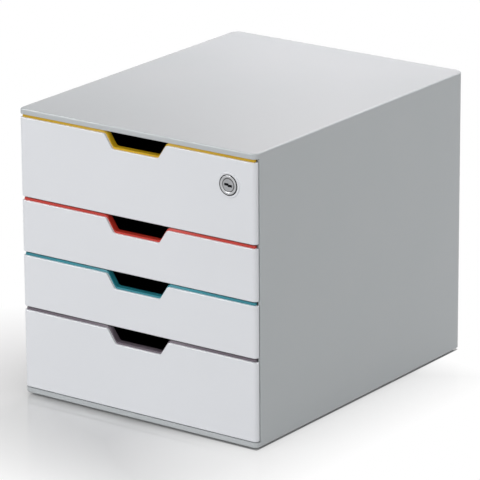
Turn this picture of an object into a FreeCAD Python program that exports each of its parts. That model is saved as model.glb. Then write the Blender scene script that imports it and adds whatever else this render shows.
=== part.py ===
import FreeCAD, Part
import os
from types import SimpleNamespace

import Sketcher
from FreeCAD import Vector

# Desk-top drawer tower: a moulded housing with four drawers, the top one with a cam lock.
# Millimetres. X to the right, Y from the front to the back, Z up, origin on the table
# under the middle of the housing. Each piece is drawn in a frame of its own whose Y counts
# depth behind the drawers' front plane, and its body is then placed in the tower.

SIZES = {
    # Housing shell
    "box_width": 280.0,
    "box_depth": 356.0,
    "shell_wall": 3.0,
    "top_lip": 5.5,
    "bottom_lip": 5.4,
    "front_step": 6.5,
    "front_corner": 5.5,
    "rear_corner": 9.0,
    "top_round": 1.8,
    "bottom_bevel": 1.0,
    "wall_round": 0.9,
    "rib_height": 2.5,
    "rib_width": 2.0,
    "rib_pitch": 44.0,
    "rib_setback": 30.0,
    # Feet
    "foot_gap": 2.7,
    "foot_sink": 1.0,
    "foot_radius": 7.0,
    "foot_inset": 24.0,
    "foot_fit": 0.2,
    # Drawer fronts and the gaps between them
    "tall_front": 79.2,
    "low_front": 51.8,
    "front_gap": 4.1,
    "top_gap": 3.4,
    "bottom_gap": 0.7,
    "front_side_gap": 0.7,
    "front_wall": 2.5,
    "front_end_wall": 4.6,
    "front_return": 5.0,
    "front_plan_round": 4.2,
    "front_edge_bevel": 0.5,
    "return_wall": 2.0,
    "notch_half_top": 36.3,
    "notch_half_floor": 27.0,
    "notch_depth": 14.0,
    "notch_floor_round": 4.0,
    "notch_mouth_round": 3.5,
    "clip_width": 9.0,
    "clip_thick": 2.0,
    "clip_barb": 1.2,
    "clip_hook": 2.2,
    "clip_fit": 0.1,
    # Coloured linings
    "lining_proud": 1.9,
    "lining_depth": 6.2,
    "lining_cap": 1.6,
    "lining_front_leg": 2.0,
    "lining_side_gap": 0.6,
    "trim_gap": 0.1,
    # Drawer trays
    "tray_front_wall": 2.4,
    "tray_front_side_gap": 2.9,
    "tray_wall": 2.0,
    "tray_lift": 1.2,
    "tray_rear_gap": 1.0,
    "tray_corner": 12.0,
    "tray_floor_bevel": 4.0,
    "rim_drop": 6.0,
    "flange_thick": 2.0,
    "flange_side_gap": 0.6,
    "lug_length": 8.0,
    "lug_rise": 3.0,
    # Runner panels
    "panel_wall": 2.2,
    "panel_front": 10.0,
    "panel_rear_gap": 10.0,
    "rail_reach": 5.5,
    "rail_thick": 2.0,
    "rail_lead": 3.0,
    "rail_side_gap": 0.7,
    "slide_gap": 0.3,
    "lug_headroom": 0.5,
    "drawer_travel": 260.0,
    "stop_thick": 4.0,
    "stop_gap": 0.5,
    # Cam lock
    "lock_side_inset": 30.8,
    "lock_drop": 25.5,
    "lock_boss_radius": 12.6,
    "lock_boss_rise": 0.8,
    "lock_recess": 0.4,
    "bezel_fit": 0.2,
    "bezel_radius": 10.2,
    "bezel_thick": 1.8,
    "bezel_bevel": 0.7,
    "barrel_radius": 9.0,
    "barrel_length": 17.2,
    "barrel_fit": 0.1,
    "nut_radius": 12.0,
    "nut_thick": 3.0,
    "plug_radius": 6.65,
    "plug_fit": 0.07,
    "plug_sink": 0.3,
    "plug_end_gap": 0.2,
    "key_slot_length": 8.8,
    "key_slot_height": 2.4,
    "key_slot_depth": 9.0,
    "key_slot_step": 0.5,
    "stub_width": 6.0,
    "cam_fit": 0.1,
    "cam_thick": 2.0,
    "cam_hub_radius": 7.5,
    "cam_width": 10.0,
    "cam_headroom": 0.7,
    "cam_tip_round": 3.0,
    "cam_screw_radius": 1.75,
    "cam_screw_fit": 0.05,
    "cam_screw_reach": 8.0,
    "cam_screw_head_radius": 4.2,
    "cam_screw_head": 2.4,
    "catch_play": 0.8,
    "catch_thick": 2.8,
    "catch_half_width": 11.0,
    "catch_overlap": 2.4,
    # How far a cut runs past the faces that it goes through
    "overrun": 2.0,
}

RIB_COUNT = 5
DRAFT_ANGLE = 1.7
CLIP_HEIGHT_SHARE = 0.36
CLIP_PLACE_SHARES = (-0.75, -0.34, 0.34, 0.75)
FULL_TURN = 360
# A hexagon's corners in shares of the radius through them
HEXAGON_SHARES = (
    (1, 0), (0.5, 0.8660254), (-0.5, 0.8660254), (-1, 0), (-0.5, -0.8660254), (0.5, -0.8660254),
)
# Sideways shift of the notch's slopes for each millimetre that an outline lies below another
SLOPE_SHIFT_SHARE = 0.536
# How near to a place an edge has to be to count as lying there, as a share of a wall
NEAR_SHARE = 0.02
# How much of an edge's length has to lie along an axis for the edge to run that way
ALONG_SHARE = 0.9


class Size:
    """A length with the formula in the sheet that it comes from, so that sums of sizes stay bound."""

    def __init__(self, number, formula):
        self.number = number
        self.formula = formula

    def __add__(self, other):
        return Size(self.number + number_of(other), f"({self.formula} + {formula_of(other)})")

    def __sub__(self, other):
        return Size(self.number - number_of(other), f"({self.formula} - {formula_of(other)})")

    def __mul__(self, share):
        return Size(self.number * share, f"({self.formula} * {share!r})")

    def __truediv__(self, share):
        return Size(self.number / share, f"({self.formula} / {share!r})")

    def __neg__(self):
        return Size(-self.number, f"(0 - {self.formula})")


def number_of(size):
    return size.number if isinstance(size, Size) else size


def formula_of(size):
    return size.formula if isinstance(size, Size) else repr(size)


# The document and its sheet of sizes

doc = FreeCAD.newDocument("drawer_tower")
sheet = doc.addObject("Spreadsheet::Sheet", "sizes")
for row, (alias, value) in enumerate(SIZES.items(), start=1):
    sheet.set(f"A{row}", alias)
    sheet.set(f"B{row}", str(value))
    sheet.setAlias(f"B{row}", alias)
doc.recompute()
size = SimpleNamespace(**{alias: Size(value, f"sizes.{alias}") for alias, value in SIZES.items()})

# Places that several pieces share

near = size.shell_wall.number * NEAR_SHARE
half_box = size.box_width / 2
box_height = (
    size.bottom_lip + size.bottom_gap + size.tall_front * 2 + size.low_front * 2
    + size.front_gap * 3 + size.top_gap + size.top_lip
)
front_y = -(size.box_depth / 2)
inner_half = half_box - size.shell_wall
front_half = half_box - size.front_side_gap
plate_start = size.front_wall + size.lining_front_leg + size.trim_gap
plate_end = plate_start + size.tray_front_wall
panel_face = inner_half - size.panel_wall
rail_edge = panel_face - size.rail_reach
tray_half = rail_edge - size.rail_side_gap
flange_half = panel_face - size.flange_side_gap
tray_rear = size.box_depth - size.shell_wall - size.tray_rear_gap
flange_rear = tray_rear - size.tray_corner
lug_front = flange_rear - size.lug_length
leg_height = size.rim_drop + size.lining_proud - size.slide_gap

# The drawers from the bottom up: name, height of the front, and the height of its lower edge
bottom_base = size.bottom_lip + size.bottom_gap
third_base = bottom_base + size.tall_front + size.front_gap
second_base = third_base + size.low_front + size.front_gap
top_base = second_base + size.low_front + size.front_gap
DRAWERS = (
    ("bottom_drawer", size.tall_front, bottom_base),
    ("third_drawer", size.low_front, third_base),
    ("second_drawer", size.low_front, second_base),
    ("top_drawer", size.tall_front, top_base),
)

# The lock's places: across and up in the top drawer, and in depth
lock_x = half_box - size.lock_side_inset
lock_up = size.tall_front - size.lock_drop
barrel_end = size.lock_recess + size.barrel_length
plug_face = size.lock_recess - size.bezel_thick + size.plug_sink
plug_end = barrel_end + size.plug_end_gap
stub_end = plug_end + size.cam_thick - size.plug_end_gap
cam_start = plug_end
cam_end = cam_start + size.cam_thick
cam_reach = box_height - size.shell_wall - size.cam_headroom - (top_base + lock_up)
catch_rear = cam_start - size.catch_play
catch_bottom = top_base + lock_up + cam_reach - size.catch_overlap


# Helpers for bodies, sketches and features

def bind(thing, name, bound):
    thing.setExpression(name, formula_of(bound))


def new_body(name, along_x, along_y, along_z):
    body = doc.addObject("PartDesign::Body", name)
    body.Label = name
    for axis, place in zip("xyz", (along_x, along_y, along_z)):
        bind(body, f"Placement.Base.{axis}", place)
    return body


def new_sketch(body, role, lift=0):
    """A sketch on an origin plane of the body, lifted along the plane's normal."""
    plane = [feature for feature in body.Origin.OriginFeatures if feature.Role == role][0]
    sketch = body.newObject("Sketcher::SketchObject", body.Label + "_sketch")
    sketch.AttachmentSupport = [(plane, "")]
    sketch.MapMode = "FlatFace"
    bind(sketch, "AttachmentOffset.Base.z", lift)
    return sketch


def plan_sketch(body, up=0):
    """A sketch seen from above, at a height: X across, Y in depth."""
    return new_sketch(body, "XY_Plane", up)


def front_sketch(body, depth=0):
    """A sketch seen from the front, at a depth: X across, Z up. Its normal points forward."""
    return new_sketch(body, "XZ_Plane", -depth)


def dimension(sketch, kind, where, bound):
    """A dimension of a sketch, bound to the sheet. Where it applies is a row of geometry numbers."""
    index = sketch.addConstraint(Sketcher.Constraint(kind, *where, number_of(bound)))
    bind(sketch, f"Constraints[{index}]", bound)


def pin(sketch, geometry, point, across, up):
    """Hold a point of the sketch at two distances from its origin."""
    origin = (-1, 1)
    dimension(sketch, "DistanceX", (*origin, geometry, point), across)
    dimension(sketch, "DistanceY", (*origin, geometry, point), up)


def polygon(sketch, points):
    """A closed outline through points that are held by dimensions."""
    first = sketch.GeometryCount
    count = len(points)
    places = [Vector(number_of(across), number_of(up), 0) for across, up in points]
    for index in range(count):
        sketch.addGeometry(Part.LineSegment(places[index], places[(index + 1) % count]), False)
    for index in range(count):
        following = first + (index + 1) % count
        sketch.addConstraint(Sketcher.Constraint("Coincident", first + index, 2, following, 1))
    for index, (across, up) in enumerate(points):
        pin(sketch, first + index, 1, across, up)


def rectangle(sketch, left, right, low, high):
    polygon(sketch, ((left, low), (right, low), (right, high), (left, high)))


def circle(sketch, across, up, radius):
    place = Vector(number_of(across), number_of(up), 0)
    index = sketch.addGeometry(Part.Circle(place, Vector(0, 0, 1), radius.number), False)
    pin(sketch, index, 3, across, up)
    dimension(sketch, "Radius", (index,), radius)


def pad(body, sketch, length, inward=False):
    """Pad a sketch along its normal, or against it into the depth."""
    feature = body.newObject("PartDesign::Pad", body.Label + "_pad")
    feature.Profile = sketch
    feature.Reversed = inward
    bind(feature, "Length", length)
    doc.recompute()
    return feature


def cut(body, sketch, length, outward=False):
    """Pocket a sketch against its normal, or along it, and make sure that it removes something."""
    before = body.Tip.Shape.Volume
    feature = body.newObject("PartDesign::Pocket", body.Label + "_pocket")
    feature.Profile = sketch
    feature.Reversed = outward
    bind(feature, "Length", length)
    doc.recompute()
    if not feature.Shape.Volume < before:
        raise RuntimeError(f"a pocket of {body.Label} removes nothing")
    return feature


def revolve(body, sketch, axis):
    feature = body.newObject("PartDesign::Revolution", body.Label + "_turned")
    feature.Profile = sketch
    feature.ReferenceAxis = (sketch, [axis])
    feature.Angle = FULL_TURN
    doc.recompute()
    return feature


def picked(shape, along=None, **ranges):
    """Names of the edges within ranges of x, y and z, and that run along an axis where one is given."""
    names = []
    for index, edge in enumerate(shape.Edges, start=1):
        ends = [edge.valueAt(edge.FirstParameter), edge.valueAt(edge.LastParameter)]
        middle = edge.valueAt((edge.FirstParameter + edge.LastParameter) / 2)
        inside = True
        for axis, (lowest, highest) in ranges.items():
            low, high = number_of(lowest) - near, number_of(highest) + near
            inside = inside and all(low <= getattr(point, axis) <= high for point in ends + [middle])
        if along:
            run = ends[1] - ends[0]
            inside = inside and abs(getattr(run, along)) > max(near, run.Length * ALONG_SHARE)
        if inside:
            names.append(f"Edge{index}")
    return names


def faces_facing(shape, *directions):
    """Names of the flat faces that look along the directions, such as "z" or "-y"."""
    names = []
    for index, face in enumerate(shape.Faces, start=1):
        if not isinstance(face.Surface, Part.Plane):
            continue
        normal = face.normalAt(0, 0)
        for direction in directions:
            sign = -1 if direction.startswith("-") else 1
            if getattr(normal, direction[-1]) * sign > ALONG_SHARE:
                names.append(f"Face{index}")
    return names


def round_faces(shape):
    """Names of the cylindrical faces."""
    faces = enumerate(shape.Faces, start=1)
    return [f"Face{index}" for index, face in faces if isinstance(face.Surface, Part.Cylinder)]


def eased(body, kind, name, bound, picks):
    """A fillet or chamfer on the edges that the picks name, each pick being a set of ranges for picked()."""
    base = body.Tip
    names = sorted({name for pick in picks for name in picked(base.Shape, **pick)})
    if not names:
        raise RuntimeError(f"an edge of {body.Label} isn't found")
    feature = body.newObject(kind, body.Label + "_edges")
    feature.Base = (base, names)
    bind(feature, name, bound)
    doc.recompute()


def fillet(body, radius, picks):
    eased(body, "PartDesign::Fillet", "Radius", radius, picks)


def bevel(body, width, picks):
    eased(body, "PartDesign::Chamfer", "Size", width, picks)


# Housing shell: one moulding, open in front, with a lip above and below the drawers

def housing_shell():
    body = new_body("housing_shell", 0, front_y, size.foot_gap)
    plan = plan_sketch(body)
    rectangle(plan, -half_box, half_box, 0, size.box_depth)
    pad(body, plan, box_height)
    fillet(body, size.rear_corner, [{"along": "z", "y": (size.box_depth, size.box_depth)}])
    fillet(body, size.front_corner, [{"along": "z", "y": (0, 0)}])
    fillet(body, size.top_round, [{"z": (box_height, box_height)}])
    bevel(body, size.bottom_bevel, [{"z": (0, 0)}])
    housing_cavity(body)
    housing_ribs(body)
    lock_catch(body)
    recesses = plan_sketch(body)
    for across, depth in foot_places():
        circle(recesses, across, depth, size.foot_radius + size.foot_fit)
    cut(body, recesses, size.foot_sink, outward=True)
    return body


def housing_cavity(body):
    """The step back to the side walls between the lips, and the space for the drawers."""
    lip_low = size.bottom_lip
    lip_high = box_height - size.top_lip
    step = front_sketch(body, -size.overrun)
    rectangle(step, -half_box - size.overrun, half_box + size.overrun, lip_low, lip_high)
    cut(body, step, size.front_step + size.overrun)
    cavity = front_sketch(body, size.front_step)
    rectangle(cavity, -inner_half, inner_half, size.shell_wall, box_height - size.shell_wall)
    cut(body, cavity, size.box_depth - size.front_step - size.shell_wall)
    inner_rear = size.box_depth - size.shell_wall
    fillet(body, size.rear_corner - size.shell_wall, [{"along": "z", "y": (inner_rear, inner_rear)}])
    fillet(body, size.wall_round, [
        {"along": "z", "x": (side, side), "y": (size.front_step, size.front_step)}
        for side in (-half_box, half_box)
    ])


def housing_ribs(body):
    """Stiffening ribs that run front to back under the top and on the floor."""
    first_rib = -(size.rib_pitch * ((RIB_COUNT - 1) / 2))
    for level in (box_height - size.shell_wall - size.rib_height, size.shell_wall):
        rib = plan_sketch(body, level)
        rectangle(
            rib, first_rib - size.rib_width / 2, first_rib + size.rib_width / 2,
            size.rib_setback, size.box_depth - size.shell_wall,
        )
        first = pad(body, rib, size.rib_height)
        pattern = body.newObject("PartDesign::LinearPattern", "housing_rib_pattern")
        pattern.Originals = [first]
        pattern.Direction = (rib, ["H_Axis"])
        pattern.Occurrences = RIB_COUNT
        bind(pattern, "Length", size.rib_pitch * (RIB_COUNT - 1))
        body.Tip = pattern
        doc.recompute()


def lock_catch(body):
    """The rib under the top that the lock's cam turns up behind."""
    rib = plan_sketch(body, catch_bottom)
    rectangle(
        rib, lock_x - size.catch_half_width, lock_x + size.catch_half_width,
        catch_rear - size.catch_thick, catch_rear,
    )
    pad(body, rib, box_height - size.shell_wall - catch_bottom)


# Feet: four round rubber pads in shallow recesses of the housing's floor

def foot_places():
    across = half_box - size.foot_inset
    deep = size.box_depth - size.foot_inset
    return ((-across, size.foot_inset), (across, size.foot_inset), (-across, deep), (across, deep))


def foot(name, across, depth):
    body = new_body(name, across, front_y + depth, 0)
    plan = plan_sketch(body)
    circle(plan, 0, 0, size.foot_radius)
    pad(body, plan, size.foot_gap + size.foot_sink)
    return body


# Runner panels: a side frame with a rail and a hold-down above it for each drawer

def rail_top(height, base):
    return base + height - size.rim_drop - size.flange_thick - size.slide_gap


def hold_down(height, base):
    return base + height - size.rim_drop + size.lug_rise + size.lug_headroom


def runner_panel(name, side):
    body = new_body(name, 0, front_y, size.foot_gap)
    comb = front_sketch(body, size.panel_front)
    points = [(inner_half * side, size.shell_wall), (panel_face * side, size.shell_wall)]
    for _, height, base in DRAWERS:
        for rail_low in (rail_top(height, base) - size.rail_thick, hold_down(height, base)):
            points.append((panel_face * side, rail_low))
            points.append((rail_edge * side, rail_low))
            points.append((rail_edge * side, rail_low + size.rail_thick))
            points.append((panel_face * side, rail_low + size.rail_thick))
    points.append((panel_face * side, box_height - size.shell_wall))
    points.append((inner_half * side, box_height - size.shell_wall))
    polygon(comb, points)
    length = size.box_depth - size.panel_rear_gap - size.panel_front
    pad(body, comb, length, inward=True)
    edge = rail_edge * side
    front = size.panel_front
    bevel(body, size.rail_lead, [{"along": "z", "x": (edge, edge), "y": (front, front)}])
    stops = front_sketch(body, lug_front - size.drawer_travel - size.stop_gap - size.stop_thick)
    for _, height, base in DRAWERS:
        flange_top = base + height - size.rim_drop
        rectangle(
            stops, panel_face * side, rail_edge * side,
            flange_top + size.lug_headroom, hold_down(height, base),
        )
    pad(body, stops, size.stop_thick, inward=True)
    return body


# What the four drawers have in common: the top edge with its finger notch, and the clips' places

def notched_edge(half_width, top, inset=0):
    """A top edge with the notch, from left to right, that lies inset within the edge at top."""
    spread = inset * SLOPE_SHIFT_SHARE
    floor = top - inset - size.notch_depth
    return [
        (-half_width, top - inset),
        (-(size.notch_half_top + spread), top - inset),
        (-(size.notch_half_floor + spread), floor),
        (size.notch_half_floor + spread, floor),
        (size.notch_half_top + spread, top - inset),
        (half_width, top - inset),
    ]


def notch_rounds(body, top):
    """Round the notch's two lower corners and the two at its mouth."""
    reach = size.notch_half_top + size.notch_mouth_round
    floor = top - size.notch_depth
    fillet(body, size.notch_floor_round, [{"along": "y", "x": (-reach, reach), "z": (floor, floor)}])
    fillet(body, size.notch_mouth_round, [{"along": "y", "x": (-reach, reach), "z": (top, top)}])


def clip_places(height):
    return [(front_half * share, height * CLIP_HEIGHT_SHARE) for share in CLIP_PLACE_SHARES]


# Drawer fronts: white shells that wrap back at the sides and clip into the tray's front wall

def drawer_front(name, height, base, has_lock):
    body = new_body(name + "_front", 0, front_y, base + size.foot_gap)
    plan = plan_sketch(body)
    rectangle(plan, -front_half, front_half, 0, size.front_return)
    pad(body, plan, height)
    fillet(body, size.front_plan_round, [{"along": "z", "y": (0, 0)}])
    hollow = front_sketch(body, size.front_wall)
    inside = front_half - size.front_end_wall
    rectangle(hollow, -inside, inside, size.return_wall, height + size.overrun)
    cut(body, hollow, size.front_return)
    notch = front_sketch(body, -size.overrun)
    mouth = (size.notch_half_top, height + size.overrun)
    polygon(notch, [(-mouth[0], mouth[1])] + notched_edge(half_box, height)[1:5] + [mouth])
    cut(body, notch, size.front_return + size.overrun)
    notch_rounds(body, height)
    bevel(body, size.front_edge_bevel, [
        {"y": (0, 0), "z": (0, 0)},
        {"y": (0, 0), "z": (height - size.notch_depth, height)},
    ])
    for across, up in clip_places(height):
        front_clip(body, across, up)
    if has_lock:
        lock_boss(body)
    return body


def front_clip(body, across, up):
    """A tab that passes the tray's front wall, with a sloped barb that catches above its slot."""
    low = up - size.clip_thick / 2
    high = up + size.clip_thick / 2
    catch = plate_end + size.clip_fit
    side_view = new_sketch(body, "YZ_Plane", across - size.clip_width / 2)
    polygon(side_view, (
        (size.front_wall, low),
        (catch + size.clip_hook, low),
        (catch + size.clip_hook, high),
        (catch, high + size.clip_barb),
        (catch, high),
        (size.front_wall, high),
    ))
    pad(body, side_view, size.clip_width)


def lock_boss(body):
    """A round boss that stands proud in front, holds the bezel, and rests on the tray's front wall behind."""
    boss = front_sketch(body, plate_start)
    circle(boss, lock_x, lock_up, size.lock_boss_radius)
    pad(body, boss, plate_start + size.lock_boss_rise)
    bevel(body, size.lock_boss_rise / 2, [{"y": (-size.lock_boss_rise, -size.lock_boss_rise)}])
    recess = front_sketch(body, -size.overrun)
    circle(recess, lock_x, lock_up, size.bezel_radius + size.bezel_fit)
    cut(body, recess, size.lock_recess + size.overrun)
    hole = front_sketch(body)
    circle(hole, lock_x, lock_up, size.barrel_radius + size.barrel_fit)
    cut(body, hole, plate_start)


# Coloured linings: a trim with two legs that straddles the top of the tray's front wall

def drawer_lining(name, height, base):
    body = new_body(name + "_lining", 0, front_y, base + size.foot_gap)
    half_width = front_half - size.front_end_wall - size.lining_side_gap
    top = height + size.lining_proud
    rear_leg_start = plate_end + size.trim_gap
    rear_leg = size.front_wall + size.lining_depth - rear_leg_start
    bands = (
        (size.front_wall, size.lining_cap, size.lining_depth),
        (size.front_wall, leg_height, size.lining_front_leg),
        (rear_leg_start, leg_height, rear_leg),
    )
    for depth, band, length in bands:
        section = front_sketch(body, depth)
        upper = notched_edge(half_width, top)
        lower = notched_edge(half_width, top, band)
        polygon(section, upper + lower[::-1])
        pad(body, section, length, inward=True)
    notch_rounds(body, top)
    return body


# Drawer trays: drafted open boxes with a front wall, running flanges and end lugs

def drawer_tray(name, height, base, has_lock):
    body = new_body(name + "_tray", 0, front_y, base + size.foot_gap)
    rim = height - size.rim_drop
    tray_box(body, rim)
    plate_half = inner_half - size.tray_front_side_gap
    plate_low = size.return_wall + size.trim_gap
    plate = front_sketch(body, plate_start)
    edge = notched_edge(plate_half, height + size.lining_proud, size.lining_cap + size.trim_gap)
    polygon(plate, [(-plate_half, plate_low)] + edge + [(plate_half, plate_low)])
    pad(body, plate, size.tray_front_wall, inward=True)
    flanges = plan_sketch(body, rim - size.flange_thick)
    lugs = plan_sketch(body, rim)
    for side in (-1, 1):
        root = (tray_half - size.tray_wall / 2) * side
        rectangle(flanges, root, flange_half * side, plate_end, flange_rear)
        rectangle(lugs, rail_edge * side, flange_half * side, lug_front, flange_rear)
    pad(body, flanges, size.flange_thick)
    pad(body, lugs, size.lug_rise)
    holes = front_sketch(body, plate_start)
    half_slot = size.clip_width / 2 + size.clip_fit
    half_tab = size.clip_thick / 2 + size.clip_fit
    for across, up in clip_places(height):
        slot_low = up - half_tab - size.clip_barb
        rectangle(holes, across - half_slot, across + half_slot, slot_low, up + half_tab)
    if has_lock:
        circle(holes, lock_x, lock_up, size.barrel_radius + size.barrel_fit)
    cut(body, holes, size.tray_front_wall)
    return body


def tray_box(body, rim):
    """The tray behind its front wall: drafted sides and back, rounded corners, and one wall all over."""
    plan = plan_sketch(body, size.tray_lift)
    rectangle(plan, -tray_half, tray_half, plate_end, tray_rear)
    pad(body, plan, rim - size.tray_lift)
    fillet(body, size.tray_corner, [{"along": "z", "y": (tray_rear, tray_rear)}])
    draft = body.newObject("PartDesign::Draft", body.Label + "_draft")
    base = draft.BaseFeature
    draft.Base = (base, faces_facing(base.Shape, "x", "-x", "y") + round_faces(base.Shape))
    draft.NeutralPlane = (base, faces_facing(base.Shape, "z"))
    draft.Angle = DRAFT_ANGLE
    draft.Reversed = True
    doc.recompute()
    underside = (size.tray_lift, size.tray_lift)
    bevel(body, size.tray_floor_bevel, [{"along": "y", "z": underside}])
    shell = body.newObject("PartDesign::Thickness", body.Label + "_shell")
    base = shell.BaseFeature
    shell.Base = (base, faces_facing(base.Shape, "z", "-y"))
    bind(shell, "Value", size.tray_wall)
    shell.Reversed = True
    doc.recompute()


# Cam lock: body with bezel, ring nut, plug, cam and cam screw, turned about the lock's axis

def lock_piece(name):
    return new_body(name, lock_x, front_y, top_base + lock_up + size.foot_gap)


def turned(body, points):
    """Revolve a profile of depths and radii about the lock's axis."""
    section = new_sketch(body, "YZ_Plane")
    polygon(section, points)
    revolve(body, section, "H_Axis")


def lock_body():
    body = lock_piece("lock_body")
    bezel_front = size.lock_recess - size.bezel_thick
    bore = size.plug_radius + size.plug_fit
    turned(body, (
        (bezel_front, bore),
        (bezel_front, size.bezel_radius - size.bezel_bevel),
        (bezel_front + size.bezel_bevel, size.bezel_radius),
        (size.lock_recess, size.bezel_radius),
        (size.lock_recess, size.barrel_radius),
        (barrel_end, size.barrel_radius),
        (barrel_end, bore),
    ))
    return body


def lock_nut():
    body = lock_piece("lock_nut")
    ring = front_sketch(body, plate_end)
    polygon(ring, [(size.nut_radius * across, size.nut_radius * up) for across, up in HEXAGON_SHARES])
    pad(body, ring, size.nut_thick, inward=True)
    hole = front_sketch(body, plate_end)
    circle(hole, 0, 0, size.barrel_radius + size.barrel_fit)
    cut(body, hole, size.nut_thick)
    return body


def lock_plug():
    body = lock_piece("lock_plug")
    turned(body, ((plug_face, 0), (plug_face, size.plug_radius), (plug_end, size.plug_radius), (plug_end, 0)))
    stub = front_sketch(body, plug_end)
    half_stub = size.stub_width / 2
    rectangle(stub, -half_stub, half_stub, -half_stub, half_stub)
    pad(body, stub, stub_end - plug_end, inward=True)
    bore = front_sketch(body, stub_end)
    circle(bore, 0, 0, size.cam_screw_radius + size.cam_screw_fit)
    cut(body, bore, size.cam_screw_reach, outward=True)
    half_slot = size.key_slot_length / 2
    half_height = size.key_slot_height / 2
    step = size.key_slot_step
    slot = front_sketch(body, plug_face)
    polygon(slot, (
        (-half_slot, step - half_height), (-step, step - half_height),
        (-step, -step - half_height), (half_slot, -step - half_height),
        (half_slot, half_height - step), (step, half_height - step),
        (step, half_height + step), (-half_slot, half_height + step),
    ))
    cut(body, slot, size.key_slot_depth)
    return body


def lock_cam():
    body = lock_piece("lock_cam")
    half_width = size.cam_width / 2
    hub = front_sketch(body, cam_start)
    circle(hub, 0, 0, size.cam_hub_radius)
    pad(body, hub, size.cam_thick, inward=True)
    arm = front_sketch(body, cam_start)
    rectangle(arm, -cam_reach, 0, -half_width, half_width)
    pad(body, arm, size.cam_thick, inward=True)
    fillet(body, size.cam_tip_round, [{"along": "y", "x": (-cam_reach, -cam_reach)}])
    half_hole = size.stub_width / 2 + size.cam_fit
    hole = front_sketch(body, cam_start)
    rectangle(hole, -half_hole, half_hole, -half_hole, half_hole)
    cut(body, hole, size.cam_thick)
    return body


def lock_cam_screw():
    body = lock_piece("lock_cam_screw")
    tip = stub_end - size.cam_screw_reach + size.cam_screw_fit
    head_end = cam_end + size.cam_screw_head
    turned(body, (
        (tip, 0),
        (tip, size.cam_screw_radius),
        (cam_end, size.cam_screw_radius),
        (cam_end, size.cam_screw_head_radius),
        (head_end, size.cam_screw_head_radius),
        (head_end, 0),
    ))
    return body


# The tower, put together from the housing outwards

pieces = [housing_shell()]
for side_name, side in (("left", -1), ("right", 1)):
    pieces.append(runner_panel(f"runner_panel_{side_name}", side))
FOOT_NAMES = ("front_left", "front_right", "rear_left", "rear_right")
for foot_name, (foot_x, foot_depth) in zip(FOOT_NAMES, foot_places()):
    pieces.append(foot(f"foot_{foot_name}", foot_x, foot_depth))
for drawer_name, height, base in DRAWERS:
    locked = drawer_name == "top_drawer"
    pieces.append(drawer_tray(drawer_name, height, base, locked))
    pieces.append(drawer_lining(drawer_name, height, base))
    pieces.append(drawer_front(drawer_name, height, base, locked))
pieces += [lock_body(), lock_nut(), lock_plug(), lock_cam(), lock_cam_screw()]

doc.recompute()
for item in doc.Objects:
    if "Invalid" in item.State or "Error" in item.State:
        raise RuntimeError(f"{item.Label} has failed: {item.State}")
for piece in pieces:
    if piece.Shape.isNull() or not piece.Shape.isValid() or not piece.Shape.Solids:
        raise RuntimeError(f"{piece.Label} has no valid solid")

os.makedirs("parts", exist_ok=True)
for piece in pieces:
    piece.Shape.exportStep(f"parts/{piece.Label}.step")
    box = piece.Shape.BoundBox
    print(
        f"{piece.Label}: {len(piece.Shape.Solids)} solid, {piece.Shape.Volume:.0f} mm3, "
        f"x {box.XMin:.1f} to {box.XMax:.1f}, y {box.YMin:.1f} to {box.YMax:.1f}, "
        f"z {box.ZMin:.1f} to {box.ZMax:.1f}"
    )
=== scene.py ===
import math

import bmesh
import bpy
from mathutils import Matrix, Vector


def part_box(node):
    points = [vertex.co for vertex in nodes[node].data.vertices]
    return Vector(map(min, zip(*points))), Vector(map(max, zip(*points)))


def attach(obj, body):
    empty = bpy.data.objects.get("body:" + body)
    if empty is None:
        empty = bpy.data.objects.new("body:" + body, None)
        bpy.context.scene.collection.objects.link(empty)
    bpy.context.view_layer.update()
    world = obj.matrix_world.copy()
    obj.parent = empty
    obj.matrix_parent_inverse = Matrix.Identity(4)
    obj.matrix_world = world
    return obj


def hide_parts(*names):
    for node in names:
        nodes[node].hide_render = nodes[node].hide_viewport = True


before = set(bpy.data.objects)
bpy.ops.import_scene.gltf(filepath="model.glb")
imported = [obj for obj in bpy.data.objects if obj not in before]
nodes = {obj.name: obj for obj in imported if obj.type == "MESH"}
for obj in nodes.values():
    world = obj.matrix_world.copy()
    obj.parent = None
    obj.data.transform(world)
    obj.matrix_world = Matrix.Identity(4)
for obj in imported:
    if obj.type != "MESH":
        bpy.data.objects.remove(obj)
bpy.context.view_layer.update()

# Desk-top drawer tower, dressed for the photograph. Metres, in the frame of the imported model:
# X to the right, Y from the front to the back, Z up from the table.

MM = 0.001
WELD = 0.002 * MM  # vertices nearer than this are one


# Housing shell: one large moulding in light grey high-impact polystyrene, open in front. The
# mould is spark-eroded to a fine grain, which spreads the highlight along every rounded edge.

def linear(hex_colour):
    """An sRGB colour, written as six hex digits, in linear light."""
    channels = [int(hex_colour[start:start + 2], 16) / 255 for start in (0, 2, 4)]
    light = [c / 12.92 if c <= 0.04045 else ((c + 0.055) / 1.055) ** 2.4 for c in channels]
    return (*light, 1.0)


def add_node(tree, kind, inputs=None, **settings):
    """Add a shader node with its settings. Each input is a value or another node's output."""
    added = tree.nodes.new("ShaderNode" + kind)
    for name, setting in settings.items():
        setattr(added, name, setting)
    for name, value in (inputs or {}).items():
        if isinstance(value, bpy.types.NodeSocket):
            tree.links.new(value, added.inputs[name])
        else:
            added.inputs[name].default_value = value
    return added


def new_material(name):
    material = bpy.data.materials.new(name)
    material.use_nodes = True
    material.node_tree.nodes.clear()
    return material, material.node_tree


def two_tones(tree, share, first, second):
    """A colour between two near ones, by a share that mostly lies in the middle of 0 to 1."""
    ramp = add_node(tree, "ValToRGB", {"Fac": share})
    ramp.color_ramp.elements[0].position = 0.3
    ramp.color_ramp.elements[0].color = linear(first)
    ramp.color_ramp.elements[1].position = 0.7
    ramp.color_ramp.elements[1].color = linear(second)
    return ramp.outputs["Color"]


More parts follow.
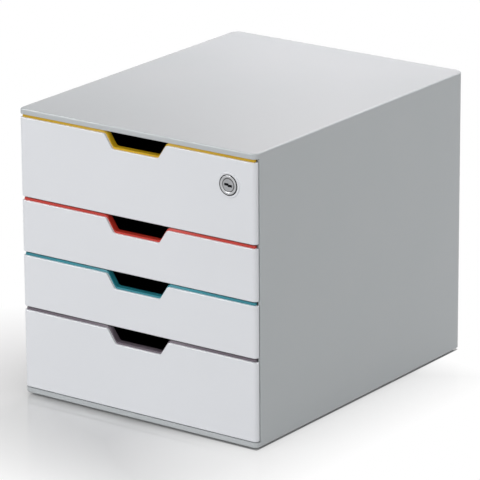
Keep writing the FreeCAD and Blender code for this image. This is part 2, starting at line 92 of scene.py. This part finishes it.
def moulded(name, tones, roughness, grain, depth, ior=1.5):
    """A moulded plastic. The melt's flow drifts its tone and gloss, and the mould's grain is a bump."""
    material, tree = new_material(name)
    place = add_node(tree, "TexCoord").outputs["Object"]
    flow = add_node(tree, "TexNoise", {"Vector": place, "Scale": 1 / (70 * MM), "Detail": 3.0})
    spots = add_node(tree, "TexNoise", {"Vector": place, "Scale": 1 / grain, "Detail": 2.0})
    gloss = add_node(tree, "MapRange", {
        "Value": flow.outputs["Fac"], "From Min": 0.3, "From Max": 0.7,
        "To Min": roughness * 0.9, "To Max": roughness * 1.12,
    })
    bump = add_node(tree, "Bump", {"Height": spots.outputs["Fac"], "Strength": 1.0, "Distance": depth})
    surface = add_node(tree, "BsdfPrincipled", {
        "Base Color": two_tones(tree, flow.outputs["Fac"], *tones),
        "Roughness": gloss.outputs["Result"],
        "Normal": bump.outputs["Normal"],
        "IOR": ior,
    })
    add_node(tree, "OutputMaterial", {"Surface": surface.outputs["BSDF"]})
    return material


def dress(material, *names):
    for name in names:
        nodes[name].data.materials.clear()
        nodes[name].data.materials.append(material)


# The real grain is about 0.15 mm across. It is drawn at 0.7 mm, the finest that a close view shows.
housing_grey = moulded(
    "housing_polystyrene_light_grey", ("B0B5B7", "B3B7B9"), roughness=0.42,
    grain=0.7 * MM, depth=0.012 * MM, ior=1.59,
)
dress(housing_grey, "housing_shell")


# Runner panels: side frames with the drawers' rails, moulded in natural polypropylene, which
# is a little waxy and slides well. They stand inside the housing's side walls.

runner_grey = moulded(
    "runner_polypropylene_grey", ("B3B5B7", "BABCBD"), roughness=0.48,
    grain=1.0 * MM, depth=0.01 * MM, ior=1.49,
)
dress(runner_grey, "runner_panel_left", "runner_panel_right")


# Feet: round pads punched from dark rubber sheet and glued into recesses of the housing's
# floor. Rubber takes hardly any shine, and its skin is finely pitted.

def pitted_rubber():
    material, tree = new_material("foot_rubber_dark")
    place = add_node(tree, "TexCoord").outputs["Object"]
    pits = add_node(tree, "TexNoise", {"Vector": place, "Scale": 1 / (0.5 * MM), "Detail": 3.0})
    bump = add_node(tree, "Bump", {"Height": pits.outputs["Fac"], "Strength": 1.0, "Distance": 0.04 * MM})
    surface = add_node(tree, "BsdfPrincipled", {
        "Base Color": two_tones(tree, pits.outputs["Fac"], "2A2B2C", "38393A"),
        "Roughness": 0.82,
        "Normal": bump.outputs["Normal"],
        "IOR": 1.52,
    })
    add_node(tree, "OutputMaterial", {"Surface": surface.outputs["BSDF"]})
    return material


dress(pitted_rubber(), "foot_front_left", "foot_front_right", "foot_rear_left", "foot_rear_right")


# Drawer trays: open boxes moulded in anthracite polystyrene, whose insides look almost black
# through the finger notches. Their grain is coarser than the housing's.

tray_anthracite = moulded(
    "tray_polystyrene_anthracite", ("18172A", "1E1D30"), roughness=0.5,
    grain=1.0 * MM, depth=0.02 * MM, ior=1.59,
)
DRAWERS = ("bottom_drawer", "third_drawer", "second_drawer", "top_drawer")
for drawer in DRAWERS:
    dress(tray_anthracite, drawer + "_tray")


# Linings: a trim of dyed ABS in each drawer's own colour, pushed over the top of the tray's
# front wall. Only its upper face and a narrow line above the white front show. A flat pad at
# each end rests on the front's side wall.

def finished(name, bm, material, body, sharp=40):
    """The mesh as a piece of the object that rides on a body, smooth but for its sharp edges."""
    mesh = bpy.data.meshes.new(name)
    bm.to_mesh(mesh)
    bm.free()
    mesh.shade_smooth()
    mesh.set_sharp_from_angle(angle=math.radians(sharp))
    mesh.materials.append(material)
    piece = bpy.data.objects.new(name, mesh)
    bpy.context.scene.collection.objects.link(piece)
    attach(piece, body)
    return piece


def padded_trim(drawer):
    """The trim's mesh with its upper edge drawn up a little, and a flat pad at each end.

    The pads lie on top of the white front's side walls. The drawer above still clears the edge.
    """
    low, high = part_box(drawer + "_lining")
    front_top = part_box(drawer + "_front")[1].z
    length, depth, overlap, raised = 2.6 * MM, 2.9 * MM, 0.1 * MM, 0.6 * MM
    height = high.z + raised - front_top
    bm = bmesh.new()
    bm.from_mesh(nodes[drawer + "_lining"].data)
    bmesh.ops.remove_doubles(bm, verts=bm.verts, dist=WELD)
    edge = high.z - 0.05 * MM
    upper = [vert for vert in bm.verts if vert.co.z > edge]
    bmesh.ops.translate(bm, verts=upper, vec=(0, 0, raised))
    for side in (-1, 1):
        middle = (side * (high.x - overlap + length / 2), low.y + depth / 2, front_top + height / 2)
        pad = Matrix.Translation(middle) @ Matrix.Diagonal((length, depth, height, 1))
        bmesh.ops.create_cube(bm, size=1.0, matrix=pad)
    return bm


LININGS = {
    "bottom_drawer": ("brown", "645A63", "6A6069"),
    "third_drawer": ("teal", "25808D", "2C8996"),
    "second_drawer": ("red", "BD3020", "C5372A"),
    "top_drawer": ("yellow", "C69C06", "CFA60E"),
}
for drawer, (dye, *tones) in LININGS.items():
    dyed = moulded(
        "lining_abs_" + dye, tones, roughness=0.4, grain=0.9 * MM, depth=0.006 * MM, ior=1.53,
    )
    trim = finished(drawer + "_lining_padded", padded_trim(drawer), dyed, drawer, sharp=30)
    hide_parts(drawer + "_lining")


# Drawer fronts: white ABS shells from a finely brushed mould, clipped into the trays. They are
# smooth and silky, with only a faint long wave in the surface where the walls cooled.

def silky_white():
    material, tree = new_material("front_abs_white")
    place = add_node(tree, "TexCoord").outputs["Object"]
    flow = add_node(tree, "TexNoise", {"Vector": place, "Scale": 1 / (120 * MM), "Detail": 1.0})
    wave = add_node(tree, "TexNoise", {"Vector": place, "Scale": 1 / (60 * MM), "Detail": 0.0})
    bump = add_node(tree, "Bump", {"Height": wave.outputs["Fac"], "Strength": 1.0, "Distance": 0.02 * MM})
    gloss = add_node(tree, "MapRange", {
        "Value": flow.outputs["Fac"], "From Min": 0.3, "From Max": 0.7, "To Min": 0.33, "To Max": 0.36,
    })
    surface = add_node(tree, "BsdfPrincipled", {
        "Base Color": two_tones(tree, flow.outputs["Fac"], "DBDDE1", "DDDFE3"),
        "Roughness": gloss.outputs["Result"],
        "Normal": bump.outputs["Normal"],
        "IOR": 1.53,
    })
    add_node(tree, "OutputMaterial", {"Surface": surface.outputs["BSDF"]})
    return material


front_white = silky_white()
for drawer in DRAWERS:
    dress(front_white, drawer + "_front")


# Lock: a turned zinc body with a flat bezel and a threaded barrel, nickel plated. The barrel
# passes the top drawer's front and the tray's front wall. The black ring round the bezel is painted
# shade and reflection: it stands for the shaded gap and the dark mirrored rim of the bezel.

lock_low, lock_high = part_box("lock_body")
lock_place = (lock_low + lock_high) / 2
bezel_front = lock_low.y
barrel_end = lock_high.y


WAVE_PERIOD = 0.314  # how far apart the wave texture's bands are at a scale of 1
RIM_SHADE_WIDTH = 0.3 * MM


def nickel_plate(name, rings, depth, roughness, tones, shaded_rim_radius=None):
    """Nickel over turned zinc, with the cutter's rings about the lock's axis as far apart as given.

    Outward from a shaded rim radius the plating is painted dark, as painted shade.
    """
    material, tree = new_material(name)
    place = add_node(tree, "TexCoord").outputs["Object"]
    centred = add_node(tree, "Mapping", {"Vector": place, "Location": -lock_place})
    cuts = add_node(tree, "TexWave", {
        "Vector": centred.outputs["Vector"], "Scale": WAVE_PERIOD / rings, "Distortion": 0.3,
    }, wave_type="RINGS", rings_direction="Y")
    bump = add_node(tree, "Bump", {"Height": cuts.outputs["Fac"], "Strength": 1.0, "Distance": depth})
    haze = add_node(tree, "TexNoise", {"Vector": place, "Scale": 1 / (3 * MM), "Detail": 2.0})
    colour = two_tones(tree, haze.outputs["Fac"], *tones)
    # Painted shade: the colour turns dark out to this radius and beyond, for the shaded gap between the
    # plug and the bezel.
    if shaded_rim_radius:
        across = add_node(
            tree, "VectorMath", {0: centred.outputs["Vector"], 1: (1, 0, 1)}, operation="MULTIPLY",
        )
        radius = add_node(tree, "VectorMath", {0: across.outputs["Vector"]}, operation="LENGTH")
        rim = add_node(tree, "MapRange", {
            "Value": radius.outputs["Value"], "From Min": shaded_rim_radius - RIM_SHADE_WIDTH, "From Max": shaded_rim_radius,
        })
        colour = add_node(tree, "MixRGB", {
            "Fac": rim.outputs["Result"], "Color1": colour, "Color2": linear("6F6E6E"),
        }).outputs["Color"]
    surface = add_node(tree, "BsdfPrincipled", {
        "Base Color": colour,
        "Metallic": 1.0,
        "Roughness": roughness,
        "Normal": bump.outputs["Normal"],
    })
    add_node(tree, "OutputMaterial", {"Surface": surface.outputs["BSDF"]})
    return material


def lathe(profile, steps=96):
    """Turn a closed profile of depths behind the bezel's face and radii, in mm, about the lock's axis."""
    bm = bmesh.new()
    points = [
        bm.verts.new((lock_place.x + radius * MM, bezel_front + depth * MM, lock_place.z))
        for depth, radius in profile
    ]
    for point, following in zip(points, points[1:] + points[:1]):
        bm.edges.new((point, following))
    bmesh.ops.spin(
        bm, geom=bm.verts[:] + bm.edges[:], cent=lock_place, axis=(0, 1, 0),
        angle=math.tau, steps=steps, use_merge=True,
    )
    bmesh.ops.remove_doubles(bm, verts=bm.verts, dist=WELD / 2)
    bmesh.ops.recalc_face_normals(bm, faces=bm.faces)
    return bm


# In mm, as the profiles are: the barrel, its plain part behind the bezel and its threaded part.
barrel_length = (barrel_end - bezel_front) / MM
barrel_radius = 9.0
core_radius = 8.5
core_start = 8.8
end_chamfer = 0.4
bore_radius = 6.73
bezel_back = 1.8
bezel_profile = (
    (bezel_back, 9.35), (0.5, 9.35), (0.2, 9.27), (0.05, 9.1), (0.0, 8.9),
    (0.0, 7.5), (0.12, 7.2), (0.45, 6.95), (0.75, bore_radius), (barrel_length, bore_radius),
    (barrel_length, core_radius - end_chamfer), (barrel_length - end_chamfer, core_radius),
    (core_start, core_radius), (core_start - 0.4, barrel_radius), (bezel_back, barrel_radius),
)
bright_nickel = nickel_plate(
    "lock_nickel_bright", rings=0.5 * MM, depth=0.002 * MM, roughness=0.32, tones=("AEAFB2", "BDBEC0"),
)
lock_body = finished("lock_body_turned", lathe(bezel_profile), bright_nickel, "top_drawer")
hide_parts("lock_body")

# Painted shade and reflection: a black ring where the gap round the bezel lies in shade and the bezel's rim
# mirrors dark surroundings.
shade_ring_profile = (
    (bezel_back, 10.2), (0.5, 10.2), (0.22, 10.12), (0.08, 9.97), (0.05, 9.8), (0.08, 9.6),
    (0.35, 9.4), (bezel_back, 9.4),
)
painted_shade_black = moulded(
    "painted_bezel_shade_black", ("0B0B0C", "101012"), roughness=0.4,
    grain=0.5 * MM, depth=0.006 * MM, ior=1.53,
)
finished("lock_painted_shade_ring", lathe(shade_ring_profile), painted_shade_black, "top_drawer")


def thread(start, end, root, crest, pitch, steps=40):
    """A helical ridge on the barrel between two depths, all in mm."""
    bm = bmesh.new()
    points = [
        bm.verts.new((lock_place.x + radius * MM, bezel_front + (start + along) * MM, lock_place.z))
        for along, radius in ((0, root), (pitch / 2, crest), (pitch, root))
    ]
    bm.faces.new(points)
    turns = (end - start - pitch) / pitch
    bmesh.ops.spin(
        bm, geom=bm.verts[:] + bm.edges[:] + bm.faces[:], cent=lock_place, axis=(0, 1, 0),
        dvec=(0, pitch * MM / steps, 0), angle=math.tau * turns, steps=round(turns * steps),
    )
    bmesh.ops.recalc_face_normals(bm, faces=bm.faces)
    return bm


ridges = thread(
    start=core_start, end=barrel_length - 0.5, root=core_radius - 0.1, crest=barrel_radius - 0.02,
    pitch=1.0,
)
finished("lock_barrel_thread", ridges, bright_nickel, "top_drawer")


# Plug: a turned cylinder with the stepped key slot, plated and left with the cutter's fine
# rings on its face, so it looks greyer than the bezel around it.

# The plug's outer rim is painted dark: painted shade in the gap round the plug.
turned_nickel = nickel_plate(
    "plug_nickel_turned", rings=0.4 * MM, depth=0.006 * MM, roughness=0.28,
    tones=("9C9DA0", "ABACAF"), shaded_rim_radius=6.1 * MM,
)
dress(turned_nickel, "lock_plug")


# Ring nut, cam and cam screw: steel with a zinc plate, which is bluish grey and only half
# bright. The nut is turned and chamfered, the cam is punched from strip, the screw is headed.

def zinc_plate():
    material, tree = new_material("steel_zinc_plated")
    place = add_node(tree, "TexCoord").outputs["Object"]
    cloud = add_node(tree, "TexNoise", {"Vector": place, "Scale": 1 / (4 * MM), "Detail": 4.0})
    drawn = add_node(tree, "Mapping", {"Vector": place, "Scale": (0.12, 1.0, 1.0)})
    lines = add_node(
        tree, "TexNoise", {"Vector": drawn.outputs["Vector"], "Scale": 1 / (0.4 * MM), "Detail": 2.0},
    )
    bump = add_node(tree, "Bump", {"Height": lines.outputs["Fac"], "Strength": 1.0, "Distance": 0.004 * MM})
    gloss = add_node(tree, "MapRange", {"Value": cloud.outputs["Fac"], "To Min": 0.26, "To Max": 0.42})
    surface = add_node(tree, "BsdfPrincipled", {
        "Base Color": two_tones(tree, cloud.outputs["Fac"], "9BA0A6", "B4B8BB"),
        "Metallic": 1.0,
        "Roughness": gloss.outputs["Result"],
        "Normal": bump.outputs["Normal"],
    })
    add_node(tree, "OutputMaterial", {"Surface": surface.outputs["BSDF"]})
    return material


zinc_steel = zinc_plate()


def across_lock(depth, turn=0.0):
    """The turn and shift that bring a shape drawn flat, Z up, to the lock's axis, facing back."""
    facing = Matrix.Rotation(-math.pi / 2, 4, "X") @ Matrix.Rotation(turn, 4, "Z")
    return Matrix.Translation((lock_place.x, depth, lock_place.z)) @ facing


def ring_nut():
    """A hexagon with a round hole, extruded to its height and chamfered at its rims."""
    low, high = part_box("lock_nut")
    corner, bore, chamfer = (high.x - low.x) / 2, 9.1 * MM, 0.35 * MM
    bm = bmesh.new()
    bmesh.ops.create_circle(bm, segments=6, radius=corner)
    bmesh.ops.subdivide_edges(bm, edges=bm.edges[:], cuts=5)
    bmesh.ops.create_circle(bm, segments=36, radius=bore)
    bmesh.ops.bridge_loops(bm, edges=bm.edges[:])
    lifted = bmesh.ops.extrude_face_region(bm, geom=bm.faces[:])
    moved = [item for item in lifted["geom"] if isinstance(item, bmesh.types.BMVert)]
    bmesh.ops.translate(bm, verts=moved, vec=(0, 0, high.y - low.y))
    bmesh.ops.recalc_face_normals(bm, faces=bm.faces)
    rims = [
        edge for edge in bm.edges
        if edge.calc_face_angle(0) > 1 and abs(edge.verts[0].co.z - edge.verts[1].co.z) < 0.1 * MM
    ]
    bmesh.ops.bevel(
        bm, geom=rims, offset=chamfer, offset_type="OFFSET", affect="EDGES", segments=2,
        profile=0.5, material=-1,
    )
    bmesh.ops.transform(bm, matrix=across_lock(low.y), verts=bm.verts)
    return bm


def eased_copy(name, width):
    """A CAD node's mesh with a small round on its sharp edges, as the punch and the plating leave them."""
    bm = bmesh.new()
    bm.from_mesh(nodes[name].data)
    bmesh.ops.remove_doubles(bm, verts=bm.verts, dist=WELD)
    bmesh.ops.dissolve_limit(bm, angle_limit=math.radians(2), verts=bm.verts, edges=bm.edges)
    sharp = [edge for edge in bm.edges if edge.calc_face_angle(0) > math.radians(50)]
    bmesh.ops.bevel(
        bm, geom=sharp, offset=width, offset_type="OFFSET", affect="EDGES", segments=2,
        profile=0.5, material=-1, clamp_overlap=True,
    )
    return bm


def cam_screw():
    """A shank and a flat round head with a cross recess, its walls drawn in towards the floor."""
    low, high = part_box("lock_cam_screw")
    head = (high.x - low.x) / 2
    arm, recess, shank = 1.35 * MM, 1.3 * MM, 1.75 * MM
    waist, taper = 0.75, 0.7
    bm = bmesh.new()
    bmesh.ops.create_grid(bm, x_segments=3, y_segments=3, size=arm)
    middles = [(face, face.calc_center_median()) for face in bm.faces]
    corners = [face for face, middle in middles if min(abs(middle.x), abs(middle.y)) > arm / 4]
    bmesh.ops.delete(bm, geom=corners, context="FACES")
    for vert in bm.verts:
        if max(abs(vert.co.x), abs(vert.co.y)) < arm / 2:
            vert.co *= waist
    cross = bm.faces[:]
    bmesh.ops.create_circle(bm, segments=24, radius=head * 0.72)
    ring = [edge for edge in bm.edges if edge.is_boundary or edge.is_wire]
    bmesh.ops.bridge_loops(bm, edges=ring)
    sunk = bmesh.ops.extrude_face_region(bm, geom=cross)
    floor = [item for item in sunk["geom"] if isinstance(item, bmesh.types.BMVert)]
    bmesh.ops.delete(bm, geom=cross, context="FACES_ONLY")
    bmesh.ops.scale(bm, verts=floor, vec=(taper, taper, 1.0))
    bmesh.ops.translate(bm, verts=floor, vec=(0, 0, -recess))
    under_head, tip = 2.4, 10.5
    steps = (
        (head * 0.93, 0.35), (head, 0.9), (head, under_head),
        (shank, under_head), (shank, tip - 0.4), (shank - 0.45 * MM, tip),
    )
    for radius, lowered in steps:
        outline = [edge for edge in bm.edges if edge.is_boundary]
        pulled = bmesh.ops.extrude_edge_only(bm, edges=outline)
        verts = [item for item in pulled["geom"] if isinstance(item, bmesh.types.BMVert)]
        for vert in verts:
            flat = Vector((vert.co.x, vert.co.y, 0)).normalized() * radius
            vert.co = (flat.x, flat.y, -lowered * MM)
    bmesh.ops.holes_fill(bm, edges=[edge for edge in bm.edges if edge.is_boundary])
    bmesh.ops.recalc_face_normals(bm, faces=bm.faces)
    bmesh.ops.transform(bm, matrix=across_lock(high.y, math.radians(20)), verts=bm.verts)
    return bm


nut = finished("lock_nut_chamfered", ring_nut(), zinc_steel, "top_drawer", sharp=30)
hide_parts("lock_nut")
cam = finished(
    "lock_cam_punched", eased_copy("lock_cam", 0.25 * MM), zinc_steel, "lock_plug_and_cam",
)
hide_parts("lock_cam")
screw = finished(
    "lock_cam_screw_headed", cam_screw(), zinc_steel, "lock_plug_and_cam",
)
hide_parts("lock_cam_screw")


# Studio: a pale glossy table top that fades to white, broad light from the front, a softbox at
# the front left, a near one above the rear, whose light falls off over the tower's top, and a
# weak one beside the right wall.

def shown(tree):
    """1 for the rays that show a surface: to the camera, in a reflection, or through something clear."""
    path = add_node(tree, "LightPath")
    rays = path.outputs["Is Camera Ray"]
    for kind in ("Is Glossy Ray", "Is Transmission Ray"):
        rays = add_node(
            tree, "Math", {0: rays, 1: path.outputs[kind]}, operation="MAXIMUM",
        ).outputs["Value"]
    return rays


def table_top():
    """White and reflecting. It fades to the surroundings' white to the right and with distance.

    Under the tower it never fades, so the gap that the feet leave stays as dark as it is.
    """
    material, tree = new_material("studio_table_white")
    place = add_node(tree, "TexCoord").outputs["Object"]
    deeper, middle, walls = (1.0, 1.6, 1.0), (0.05, -0.2, 0.0), (0.1375, 0.1755, 0.0)
    stretched = add_node(tree, "VectorMath", {0: place, 1: deeper}, operation="MULTIPLY")
    reach = add_node(
        tree, "VectorMath", {0: stretched.outputs["Vector"], 1: middle}, operation="DISTANCE",
    )
    far = add_node(tree, "MapRange", {
        "Value": reach.outputs["Value"], "From Min": 0.18, "From Max": 0.44,
    })
    across = add_node(tree, "SeparateXYZ", {"Vector": place})
    right = add_node(tree, "MapRange", {
        "Value": across.outputs["X"], "From Min": 0.0, "From Max": 0.22,
    })
    fade = add_node(
        tree, "Math", {0: far.outputs["Result"], 1: right.outputs["Result"]}, operation="MAXIMUM",
    )
    folded = add_node(tree, "VectorMath", {0: place}, operation="ABSOLUTE")
    past = add_node(tree, "VectorMath", {0: folded.outputs["Vector"], 1: walls}, operation="SUBTRACT")
    beyond = add_node(tree, "SeparateXYZ", {"Vector": past.outputs["Vector"]})
    outside = add_node(
        tree, "Math", {0: beyond.outputs["X"], 1: beyond.outputs["Y"]}, operation="MAXIMUM",
    )
    clear = add_node(tree, "MapRange", {"Value": outside.outputs["Value"], "From Max": 0.8 * MM})
    open_fade = add_node(
        tree, "Math", {0: fade.outputs["Value"], 1: clear.outputs["Result"]}, operation="MULTIPLY",
    )
    share = add_node(
        tree, "Math", {0: open_fade.outputs["Value"], 1: shown(tree)}, operation="MULTIPLY",
    )
    haze = add_node(tree, "TexNoise", {"Vector": place, "Scale": 6.0, "Detail": 1.0})
    gloss = add_node(tree, "MapRange", {"Value": haze.outputs["Fac"], "To Min": 0.02, "To Max": 0.04})
    top = add_node(tree, "BsdfPrincipled", {
        "Base Color": linear("E2E2E2"), "Roughness": gloss.outputs["Result"], "IOR": 1.9,
    })
    white = add_node(tree, "Emission", {"Color": (1, 1, 1, 1), "Strength": 1.0})
    mixed = add_node(tree, "MixShader", {
        0: share.outputs["Value"], 1: top.outputs["BSDF"], 2: white.outputs["Emission"],
    })
    add_node(tree, "OutputMaterial", {"Surface": mixed.outputs["Shader"]})
    return material


floor_mesh = bmesh.new()
bmesh.ops.create_circle(floor_mesh, cap_ends=True, segments=96, radius=8.0)
floor_data = bpy.data.meshes.new("table_top")
floor_mesh.to_mesh(floor_data)
floor_mesh.free()
floor_data.materials.append(table_top())
table = bpy.data.objects.new("table_top", floor_data)
bpy.context.scene.collection.objects.link(table)


def softbox(name, place, aim, side, power, colour=(1, 1, 1)):
    lamp = bpy.data.lights.new(name, "AREA")
    lamp.size = side
    lamp.energy = power
    lamp.color = colour
    holder = bpy.data.objects.new(name, lamp)
    holder.location = place
    holder.rotation_euler = (Vector(aim) - Vector(place)).to_track_quat("-Z", "Y").to_euler()
    bpy.context.scene.collection.objects.link(holder)


tower_middle = (0, 0, 0.15)
softbox("front_softbox", (-0.95, -1.7, 1.3), tower_middle, side=1.2, power=9.4)
softbox(
    "rear_softbox", (-0.08, 0.42, 0.85), (0.0, 0.05, 0.2), side=0.5, power=4.2, colour=(1.0, 0.94, 0.96),
)
softbox("side_softbox", (1.6, 0.6, 0.4), tower_middle, side=1.0, power=4.2)


PATCH_RIM, PATCH_CORE = 0.9, 0.98  # cosines of the angles where a bright patch starts and is full


def glow(tree, direction, towards, strength):
    """A bright round patch of the surroundings that only reflections show, as a lamp's own face is."""
    near = add_node(tree, "VectorMath", {0: direction, 1: towards}, operation="DOT_PRODUCT")
    patch = add_node(tree, "MapRange", {
        "Value": near.outputs["Value"],
        "From Min": PATCH_RIM, "From Max": PATCH_CORE, "To Max": strength,
    })
    return patch.outputs["Result"]


def surroundings():
    """White where it shows. As light it comes from the front, and leaves the sides and the back dim.

    Rounded edges also mirror two bright patches, from above in front and from above behind.
    """
    world = bpy.data.worlds.new("studio")
    world.use_nodes = True
    tree = world.node_tree
    tree.nodes.clear()
    direction = add_node(tree, "TexCoord").outputs["Generated"]
    front, front_level = (0.3, -0.95, 0.1), 1.53
    lean = add_node(tree, "VectorMath", {0: direction, 1: front}, operation="DOT_PRODUCT")
    level = add_node(tree, "MapRange", {"Value": lean.outputs["Value"], "To Max": front_level})
    strength = add_node(
        tree, "Math", {0: level.outputs["Result"], 1: shown(tree)}, operation="MAXIMUM",
    )
    patches = add_node(tree, "Math", {
        0: glow(tree, direction, (-0.56, -0.45, 0.70), 8.0),
        1: glow(tree, direction, (0.30, 0.77, 0.56), 5.0),
    })
    path = add_node(tree, "LightPath")
    mirrored = add_node(tree, "Math", {
        0: path.outputs["Is Glossy Ray"], 1: path.outputs["Diffuse Depth"],
    }, operation="GREATER_THAN")
    reflected = add_node(
        tree, "Math", {0: patches.outputs["Value"], 1: mirrored.outputs["Value"]}, operation="MULTIPLY",
    )
    total = add_node(tree, "Math", {0: strength.outputs["Value"], 1: reflected.outputs["Value"]})
    background = add_node(tree, "Background", {"Color": (1, 1, 1, 1), "Strength": total.outputs["Value"]})
    add_node(tree, "OutputWorld", {"Surface": background.outputs["Background"]})
    return world


bpy.context.scene.world = surroundings()
bpy.context.scene.view_settings.view_transform = "Standard"


# Camera: a long lens from the front right and above. Its place was found from the tower's edges
# in the photograph.

lens = bpy.data.cameras.new("photograph")
lens.sensor_width = 36.0
lens.lens = 289.3
lens.clip_start = 0.1
lens.clip_end = 50.0
camera = bpy.data.objects.new("photograph", lens)
camera.location = (2.1179, -2.9429, 1.2983)
camera.rotation_euler = (math.radians(72.2445), math.radians(0.3363), math.radians(35.7218))
bpy.context.scene.collection.objects.link(camera)
bpy.context.scene.camera = camera

bpy.context.view_layer.update()
